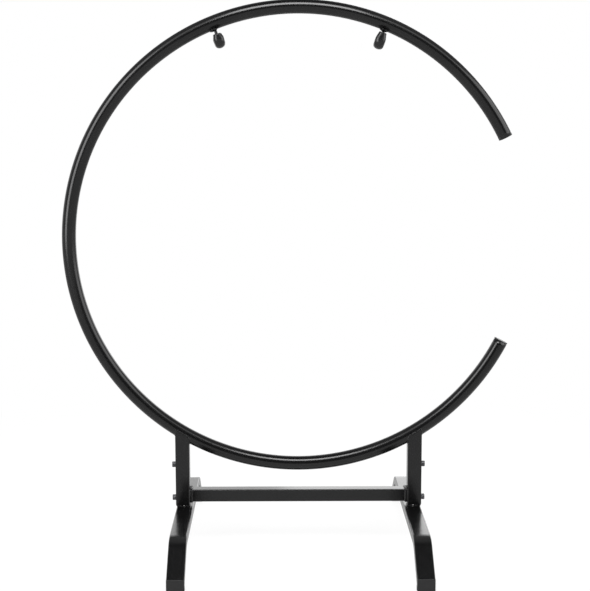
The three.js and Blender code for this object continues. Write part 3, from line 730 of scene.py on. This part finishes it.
def make_foot_plugs(side):
    """Moulded plug on each end of a foot: a plate over the cut and a sole under the tube."""
    low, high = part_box(f"{side}_foot_cap_rear")
    middle = (low.x + high.x) / 2
    half_width = FOOT_WIDTH / 2
    plate = FOOT_HALF_REACH + CONTACT_GAP
    rise = FOOT_HEIGHT / math.cos(FOOT_SLOPE)
    seat = CONTACT_GAP / math.cos(FOOT_SLOPE)

    def underside(y):
        return SOLE_THICKNESS + (FOOT_HALF_REACH - y) * math.tan(FOOT_SLOPE)

    top = underside(FOOT_HALF_REACH) + rise
    heel = FOOT_HALF_REACH - SOLE_DEPTH
    outline = [(heel, 0), (plate + FOOT_PLUG_PLATE, 0), (plate + FOOT_PLUG_PLATE, top - FOOT_PLUG_EDGE)]
    outline += [(plate + FOOT_PLUG_PLATE - FOOT_PLUG_EDGE, top), (plate, top)]
    outline += [(plate, underside(plate) - seat), (heel, underside(heel) - seat)]
    for end, turn in (("front", -1), ("rear", 1)):
        mesh = bpy.data.meshes.new(f"{side}_plug_{end}")
        count = len(outline)
        points = [(middle + s * half_width, turn * y, z) for s in (-1, 1) for y, z in outline]
        faces = [tuple(range(count)), tuple(range(count, 2 * count))]
        faces += [(i, (i + 1) % count, count + (i + 1) % count, count + i) for i in range(count)]
        mesh.from_pydata(points, [], faces)
        plug = round_edges(closed(f"{side}_foot_plug_{end}", mesh), FOOT_PLUG_EDGE)
        settle(plug, PLUG, f"{side}_foot_cap_{end}")


def make_stub_bead(side, sign):
    """Bead at the foot of the stub, inside the narrow gap under the leg."""
    low, high = stub_boxes[side]
    middle = (low.x + high.x) / 2
    width = high.x - low.x
    path_width = width + 2 * STUB_BEAD_OFFSET
    section = rounded_rect(path_width, path_width, TUBE_CORNER_RADIUS, flat_steps=12)
    points = [Vector((middle + u, v, FOOT_TOP + STUB_BEAD_OFFSET)) for u, v in section]
    facings = [Vector((u, v, 0)).normalized() for u, v in section]
    seed = STUB_BEAD_SEED * sign
    bead_width, height = STUB_BEAD_WIDTH, STUB_BEAD_HEIGHT
    bead(f"{side}_stub_bead", points, facings, bead_width, height, seed, WELD_COAT, f"{side}_stub_weld")
    make_dab(side, Vector((middle - sign * DAB_ASIDE, -width / 2 - DAB_FORWARD, FOOT_TOP + DAB_RISE)))


def make_dab(side, middle):
    """Round end of the bead where the welder stopped, in the gap under the front of the leg. Its bright steel
    colour is a painted highlight.
    """
    tiers, sides = 12, 24
    rings = []
    for i in range(tiers + 1):
        turn = math.pi * i / tiers - math.pi / 2
        width = DAB_HALF_WIDTH * math.cos(turn)
        depth = DAB_HALF_HEIGHT * math.cos(turn)
        rise = DAB_HALF_HEIGHT * math.sin(turn)
        angles = [2 * math.pi * k / sides for k in range(sides)]
        rings.append([middle + Vector((width * math.cos(a), depth * math.sin(a), rise)) for a in angles])
    settle(skin(f"{side}_stub_bead_end", rings), PAINTED_GLINT_STEEL, f"{side}_stub_weld")


# Screws


def hexagon(angle):
    """Distance from the middle of a socket to its side in a given direction, for a width of one."""
    return 0.5 / math.cos((angle + math.pi / 6) % (math.pi / 3) - math.pi / 6)


def make_screws():
    """Socket screws with a knurled head, two in the outer side of each leg."""
    sides = 4 * KNURL_TEETH
    top = SCREW_HEAD_HEIGHT
    socket_floor = top - SCREW_SOCKET_DEPTH

    def ring(height, radius, knurl=0.0, six=0.0):
        points = []
        for i in range(sides):
            angle = 2 * math.pi * i / sides
            reach = radius - knurl * (0.5 + 0.5 * math.cos(KNURL_TEETH * angle))
            reach = reach * (1 - six) + six * SCREW_SOCKET_WIDTH * hexagon(angle)
            points.append((reach * math.cos(angle), reach * math.sin(angle), height))
        return points

    head = SCREW_HEAD_RADIUS
    plain = head - SCREW_PLAIN_INSET
    edge_steps = 4
    rings = [ring(-SCREW_LENGTH, 0), ring(-SCREW_LENGTH, SCREW_SHANK_RADIUS - SCREW_EDGE)]
    rings += [ring(-SCREW_LENGTH + SCREW_EDGE, SCREW_SHANK_RADIUS), ring(0, SCREW_SHANK_RADIUS)]
    rings += [ring(0, head - SCREW_HEAD_FOOT_EDGE), ring(SCREW_HEAD_FOOT_EDGE, plain)]
    rings += [ring(KNURL_START, head, KNURL_DEPTH), ring(top - KNURL_END_DEPTH, head, KNURL_DEPTH)]
    rings.append(ring(top - SCREW_SHOULDER_DEPTH, plain))
    for i in range(edge_steps + 1):
        turn = math.pi / 2 * i / edge_steps
        rise = top - SCREW_EDGE + SCREW_EDGE * math.sin(turn)
        rings.append(ring(rise, plain - SCREW_EDGE + SCREW_EDGE * math.cos(turn)))
    rings.append(ring(top, SCREW_SOCKET_WIDTH * SCREW_SOCKET_MOUTH_SHARE))
    rings.append(ring(top - SCREW_SOCKET_CHAMFER, 0, six=1.0))
    rings += [ring(socket_floor, 0, six=1.0), ring(socket_floor - SCREW_SOCKET_CONE, 0)]
    screw = skin("screw", rings, sharp=40)
    low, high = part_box("left_bolt_lower")
    lowest = (low.z + high.z) / 2
    upper_low, upper_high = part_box("left_bolt_upper")
    spacing = (upper_low.z + upper_high.z) / 2 - lowest
    screws = SCREW_RECIPE.cook(
        "leg_screws", bpy.data.meshes.new("leg_screws"), Screw=screw, Middle=MIDDLE_X,
        Reach=LEG_X + LEG_WIDTH / 2 + CONTACT_GAP, Lowest=lowest, Spacing=spacing,
        Count=2, Seed=11, Material=OXIDE,
    )
    bpy.data.objects.remove(screw)
    settle(screws, OXIDE, *[f"{side}_bolt_{level}" for side in SIDES for level in ("lower", "upper")])


# Hooks


def hook_place(hook):
    """Placement of a hook: X down from the hoop's middle line, Y from the rear arm to the front arm."""
    angle, lean, twist = (math.radians(hook[key]) for key in ("angle", "lean", "twist"))
    outward = Vector((math.cos(angle), 0, math.sin(angle)))
    inward = Vector((math.sin(angle), 0, -math.cos(angle)))
    if inward.x * outward.x > 0:
        inward.negate()
    down = -outward * math.cos(lean) + inward * math.sin(lean)
    level = inward * math.cos(lean) + outward * math.sin(lean)
    across = level * math.sin(twist) + Vector((0, -math.cos(twist), 0))
    normal = down.cross(across)
    root = RING_CENTRE + outward * RING_RADIUS
    turn = Matrix((down, across, normal)).transposed().to_4x4()
    return Matrix.Translation(root) @ turn, outward


def bend_start(hook):
    return TUBE_RADIUS + hook["reach"] - SLEEVE_RADIUS - HOOK_BEND_RADIUS


def hook_stations(bend_at, start, end):
    """Distances along the bent rod and, for each, its point and its outward side in the rod's plane."""
    rear = bend_at - start
    turn = math.pi * HOOK_BEND_RADIUS
    total = rear + turn + bend_at - end

    def at(distance):
        if distance <= rear:
            return Vector((start + distance, 0, 0)), Vector((0, -1, 0))
        if distance <= rear + turn:
            angle = (distance - rear) / HOOK_BEND_RADIUS
            out = Vector((math.sin(angle), -math.cos(angle), 0))
            return Vector((bend_at, HOOK_BEND_RADIUS, 0)) + out * HOOK_BEND_RADIUS, out
        return Vector((bend_at - (distance - rear - turn), 2 * HOOK_BEND_RADIUS, 0)), Vector((0, 1, 0))

    return total, at


def bent_ring(place, at, distance, radius, sides=40, pinch=0.0, bulge=1.0):
    """Ring of points round the rod, with the inside of the bend drawn in by a pinch and its sides bulged."""
    middle, out = at(distance)
    side = Vector((0, 0, bulge))
    points = []
    for i in range(sides):
        angle = 2 * math.pi * i / sides
        reach = radius - pinch * (0.5 - 0.5 * math.cos(angle)) ** 2
        points.append(place @ (middle + out * reach * math.cos(angle) + side * reach * math.sin(angle)))
    return points


def make_rod(side, place, hook):
    tip = TUBE_RADIUS + hook["tip"] + HOOK_ROD_INSET
    total, at = hook_stations(bend_start(hook), TUBE_RADIUS - HOOK_ROD_ROOT, tip)
    steps = 48
    rings = [bent_ring(place, at, 0, 0), bent_ring(place, at, 0, HOOK_ROD_RADIUS)]
    rings += [bent_ring(place, at, total * i / steps, HOOK_ROD_RADIUS) for i in range(1, steps)]
    rings.append(bent_ring(place, at, total - HOOK_ROD_EDGE, HOOK_ROD_RADIUS))
    rings.append(bent_ring(place, at, total, HOOK_ROD_RADIUS - HOOK_ROD_EDGE))
    rings.append(bent_ring(place, at, total, 0))
    settle(skin(f"{side}_hook_bar", rings, sharp=50), COAT, f"{side}_hook_rod")


def make_sleeve(side, place, hook):
    """Thick hose over the rod's bend, with rounded lips. Inside the bend it pinches and its sides bulge."""
    start = TUBE_RADIUS + hook["sleeve_start"]
    total, at = hook_stations(bend_start(hook), start, TUBE_RADIUS + hook["tip"])
    straight = bend_start(hook) - start
    turn = math.pi * HOOK_BEND_RADIUS

    def ring(distance, radius, pinch=0.0):
        share = min((at(distance)[0].x - start) / straight, 1)
        bulge = 1 + SLEEVE_BEND_BULGE * share**2 * (3 - 2 * share)
        return bent_ring(place, at, distance, radius, pinch=pinch, bulge=bulge)

    rings = []
    lip_steps, steps, bore_steps = 6, 90, 30
    for i in range(lip_steps):
        angle = math.pi / 2 * i / lip_steps
        drawn_in = SLEEVE_LIP * (1 - math.cos(angle))
        rings.append(ring(SLEEVE_LIP * (1 - math.sin(angle)), SLEEVE_RADIUS - drawn_in))
    rings.reverse()
    for i in range(1, steps):
        distance = SLEEVE_LIP + (total - 2 * SLEEVE_LIP) * i / steps
        bend = (distance - straight) / turn
        pinch = 0.0
        if 0 < bend < 1:
            fold = math.cos(2 * math.pi * SLEEVE_PINCHES * bend)
            pinch = SLEEVE_PINCH_DEPTH * math.sin(math.pi * bend) * (0.6 + 0.4 * fold)
        rings.append(ring(distance, SLEEVE_RADIUS, pinch))
    for i in range(lip_steps + 1):
        angle = math.pi / 2 * i / lip_steps
        drawn_in = SLEEVE_LIP * (1 - math.cos(angle))
        rings.append(ring(total - SLEEVE_LIP * (1 - math.sin(angle)), SLEEVE_RADIUS - drawn_in))
    mouth = SLEEVE_BORE_RADIUS + SLEEVE_BORE_EDGE
    rings += [ring(total, mouth), ring(total - SLEEVE_BORE_EDGE, SLEEVE_BORE_RADIUS)]
    rings += [ring(total * (1 - i / bore_steps), SLEEVE_BORE_RADIUS) for i in range(1, bore_steps)]
    rings += [ring(SLEEVE_BORE_EDGE, SLEEVE_BORE_RADIUS), ring(0, mouth)]
    settle(skin(f"{side}_hook_hose", rings, looped=True, sharp=50), RUBBER, f"{side}_hook_sleeve")


def make_hook_heap(side, place, outward, hook):
    """Heap of weld laid over the underside of the hoop round the rod's root, in overlapping ripples."""
    down = -outward
    along = Vector((-outward.z, 0, outward.x))
    if along.x > 0:
        along.negate()
    root = place.translation + along * hook["weld_aside"]
    seed = 40 * outward.x
    sides, steps = 72, 22
    flank, crown = 2.2, 0.7

    def ring(share, height):
        points = []
        for i in range(sides):
            turn = 2 * math.pi * i / sides
            ragged = 1 + 0.05 * math.sin(3 * turn + seed) + 0.03 * math.sin(7 * turn + 2 * seed)
            far = HEAP_HALF_LENGTH * share * ragged * math.cos(turn)
            tilt = HEAP_HALF_WIDTH * share * ragged * math.sin(turn) / TUBE_RADIUS
            travel = math.hypot(far + HEAP_RIPPLE_SHIFT, tilt * TUBE_RADIUS)
            crest = abs(math.sin(math.pi * travel / HEAP_RIPPLE_PITCH))
            ripple = HEAP_RIPPLE_DEPTH * (crest - 1) * (1 - share**6)
            reach = TUBE_RADIUS + height + (ripple if height > 0 else 0)
            forward = Vector((0, -reach * math.sin(tilt), 0))
            points.append(root + along * far + down * reach * math.cos(tilt) + forward)
        return points

    rings = [ring(0, -HEAP_ROOT_DEPTH), ring(1, -HEAP_ROOT_DEPTH)]
    for i in range(steps + 1):
        share = 1 - i / steps
        rings.append(ring(share, HEAP_HEIGHT * (1 - share**flank) ** crown - HEAP_RIM_DEPTH))
    settle(skin(f"{side}_hook_heap", rings, sharp=60), WELD_COAT, f"{side}_hook_weld")


# The stand

make_hoop()
make_ring_plugs()
make_bar()
for side, sign in SIDES.items():
    make_leg(side, sign)
    make_leg_bead(side, sign)
    make_bar_bead(side, sign)
    make_foot(side)
    make_foot_plugs(side)
    make_stub_bead(side, sign)
make_screws()
for side, hook in HOOKS.items():
    place, outward = hook_place(hook)
    make_rod(side, place, hook)
    make_sleeve(side, place, hook)
    make_hook_heap(side, place, outward, hook)

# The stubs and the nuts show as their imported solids
for name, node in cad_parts.items():
    surface = ZINC if "nut" in name else COAT
    node.data.materials.clear()
    node.data.materials.append(surface)


# Floor, light and camera


def pale_floor(name):
    """Looks white with a soft shadow near the stand, and a little dimmer in the stand's gloss."""
    shade = 0.85
    glow_in_gloss = 0.65
    near, far = 0.6, 1.6
    glow_share_near = 0.88
    made = bpy.data.materials.new(name)
    made.use_nodes = True
    tree = made.node_tree
    tree.nodes.clear()
    output = tree.nodes.new("ShaderNodeOutputMaterial")
    matt = tree.nodes.new("ShaderNodeBsdfDiffuse")
    matt.inputs["Color"].default_value = (shade, shade, shade, 1)
    glow = tree.nodes.new("ShaderNodeEmission")
    dimmed = tree.nodes.new("ShaderNodeMath")
    dimmed.operation = "MULTIPLY_ADD"
    dimmed.inputs[1].default_value = glow_in_gloss - 1
    dimmed.inputs[2].default_value = 1
    rays = tree.nodes.new("ShaderNodeLightPath")
    seen = tree.nodes.new("ShaderNodeMath")
    seen.operation = "MAXIMUM"
    place = tree.nodes.new("ShaderNodeTexCoord")
    distance = tree.nodes.new("ShaderNodeVectorMath")
    distance.operation = "LENGTH"
    fade = tree.nodes.new("ShaderNodeMapRange")
    fade.interpolation_type = "SMOOTHSTEP"
    fade.inputs["From Min"].default_value = near
    fade.inputs["From Max"].default_value = far
    fade.inputs["To Min"].default_value = glow_share_near
    fade.inputs["To Max"].default_value = 1
    share = tree.nodes.new("ShaderNodeMath")
    share.operation = "MULTIPLY"
    mix = tree.nodes.new("ShaderNodeMixShader")
    tree.links.new(place.outputs["Object"], distance.inputs[0])
    tree.links.new(distance.outputs["Value"], fade.inputs["Value"])
    tree.links.new(rays.outputs["Is Camera Ray"], seen.inputs[0])
    tree.links.new(rays.outputs["Is Glossy Ray"], seen.inputs[1])
    tree.links.new(rays.outputs["Is Glossy Ray"], dimmed.inputs[0])
    tree.links.new(dimmed.outputs[0], glow.inputs["Strength"])
    tree.links.new(seen.outputs[0], share.inputs[0])
    tree.links.new(fade.outputs["Result"], share.inputs[1])
    tree.links.new(share.outputs[0], mix.inputs["Fac"])
    tree.links.new(matt.outputs[0], mix.inputs[1])
    tree.links.new(glow.outputs[0], mix.inputs[2])
    tree.links.new(mix.outputs[0], output.inputs["Surface"])
    return made


def add_floor():
    reach = 30.0
    mesh = bpy.data.meshes.new("floor")
    corners = [(-reach, -reach, 0), (reach, -reach, 0), (reach, reach, 0), (-reach, reach, 0)]
    mesh.from_pydata(corners, [], [(0, 1, 2, 3)])
    mesh.materials.append(pale_floor("pale_floor"))
    floor = bpy.data.objects.new("floor", mesh)
    bpy.context.scene.collection.objects.link(floor)


def surroundings(tree):
    """What the stand's gloss sees: white low behind it, dark above it and dim elsewhere."""
    behind, beside, in_front, above = 1.0, 0.32, 0.04, 0.01
    direction = tree.nodes.new("ShaderNodeTexCoord")
    parts = tree.nodes.new("ShaderNodeSeparateXYZ")
    tree.links.new(direction.outputs["Generated"], parts.inputs[0])

    def ramp(part, start, end):
        made = tree.nodes.new("ShaderNodeMapRange")
        made.interpolation_type = "SMOOTHSTEP"
        made.inputs["From Min"].default_value = start
        made.inputs["From Max"].default_value = end
        tree.links.new(parts.outputs[part], made.inputs["Value"])
        return made.outputs[0]

    def blend(factor, first, second):
        made = tree.nodes.new("ShaderNodeMix")
        made.data_type = "RGBA"
        for label, shade in (("A", first), ("B", second)):
            if isinstance(shade, float):
                made.inputs[label].default_value = (shade, shade, shade, 1)
            else:
                tree.links.new(shade, made.inputs[label])
        tree.links.new(factor, made.inputs["Factor"])
        return made.outputs["Result"]

    low_behind = tree.nodes.new("ShaderNodeMath")
    low_behind.operation = "MULTIPLY"
    tree.links.new(ramp("Y", -0.1, 0.4), low_behind.inputs[0])
    tree.links.new(ramp("Z", 0.6, 0.25), low_behind.inputs[1])
    sides = blend(ramp("Y", -0.6, -0.9), beside, in_front)
    around = blend(low_behind.outputs[0], sides, behind)
    return blend(ramp("Z", 0.9, 0.985), around, above)


def add_world():
    """White to the camera, a plain fill on the stand, and its surroundings in its gloss."""
    world = bpy.data.worlds.new("studio")
    bpy.context.scene.world = world
    world.use_nodes = True
    tree = world.node_tree
    tree.nodes.clear()
    output = tree.nodes.new("ShaderNodeOutputWorld")
    rays = tree.nodes.new("ShaderNodeLightPath")
    fill = tree.nodes.new("ShaderNodeBackground")
    fill.inputs["Color"].default_value = (1, 1, 1, 1)
    fill.inputs["Strength"].default_value = 0.75
    white = tree.nodes.new("ShaderNodeBackground")
    white.inputs["Color"].default_value = (1, 1, 1, 1)
    gloss = tree.nodes.new("ShaderNodeBackground")
    on_stand = tree.nodes.new("ShaderNodeMixShader")
    seen = tree.nodes.new("ShaderNodeMixShader")
    tree.links.new(surroundings(tree), gloss.inputs["Color"])
    tree.links.new(rays.outputs["Is Glossy Ray"], on_stand.inputs["Fac"])
    tree.links.new(fill.outputs[0], on_stand.inputs[1])
    tree.links.new(gloss.outputs[0], on_stand.inputs[2])
    tree.links.new(rays.outputs["Is Camera Ray"], seen.inputs["Fac"])
    tree.links.new(on_stand.outputs[0], seen.inputs[1])
    tree.links.new(white.outputs[0], seen.inputs[2])
    tree.links.new(seen.outputs[0], output.inputs["Surface"])


def add_panel(name, position, target, width, height, radiance):
    """Soft panel that lights the stand and shows in its gloss, but not to the camera."""
    lamp = bpy.data.lights.new(name, "AREA")
    lamp.shape = "RECTANGLE"
    lamp.size = width
    lamp.size_y = height
    lamp.energy = radiance * math.pi * width * height
    panel = bpy.data.objects.new(name, lamp)
    bpy.context.scene.collection.objects.link(panel)
    panel.location = position
    panel.rotation_mode = "QUATERNION"
    panel.rotation_quaternion = (Vector(target) - Vector(position)).to_track_quat("-Z", "Y")
    panel.visible_camera = False


# Position, target, width, height and radiance of each panel
PANELS = {
    "front_strip": ((RING_CENTRE.x, -1.36, 2.5), (RING_CENTRE.x, 0, 0.9), 1.19, 0.85, 10.5),
    "front_wings": ((RING_CENTRE.x, -1.38, 2.53), (RING_CENTRE.x, 0, 0.9), 3.8, 0.85, 1.3),
    "left_softbox": ((-1.8, -1.55, 1.4), (0, 0, 0.7), 1.1, 2.0, 5.6),
    "right_softbox": ((2.3, -0.75, 1.5), (0, 0, 0.7), 2.1, 1.9, 2.6),
    "rear_left_panel": ((-1.4, 2.6, 1.1), (-1.4, 0, 0.3), 2.8, 2.2, 0.65),
    "rear_right_panel": ((1.4, 2.6, 1.1), (1.4, 0, 0.3), 2.8, 2.2, 1.7),
}


def add_camera():
    """The photograph's view: its place was worked out from the edges of the hoop, legs, bar and feet."""
    from_hoop_middle = Vector((-0.04086, -3.046, 0.30183))
    pitch, roll = 0.13963, -0.00333
    focal_pixels, image_width = 1360.2, 590
    sideways_shift = 0.0252
    camera = bpy.data.cameras.new("camera")
    camera.sensor_fit = "HORIZONTAL"
    camera.sensor_width = 36
    camera.lens = focal_pixels / image_width * camera.sensor_width
    camera.shift_x = sideways_shift
    camera.clip_end = 200
    holder = bpy.data.objects.new("camera", camera)
    bpy.context.scene.collection.objects.link(holder)
    forward = Vector((0, math.cos(pitch), -math.sin(pitch)))
    level = Vector((1, 0, 0))
    above = level.cross(forward)
    right = level * math.cos(roll) + above * math.sin(roll)
    up = right.cross(forward)
    turn = Matrix((right, up, -forward)).transposed()
    holder.matrix_world = Matrix.Translation(RING_CENTRE + from_hoop_middle) @ turn.to_4x4()
    bpy.context.scene.camera = holder


add_floor()
add_world()
for name, setup in PANELS.items():
    add_panel(name, *setup)
add_camera()

bpy.context.scene.view_settings.view_transform = "Standard"
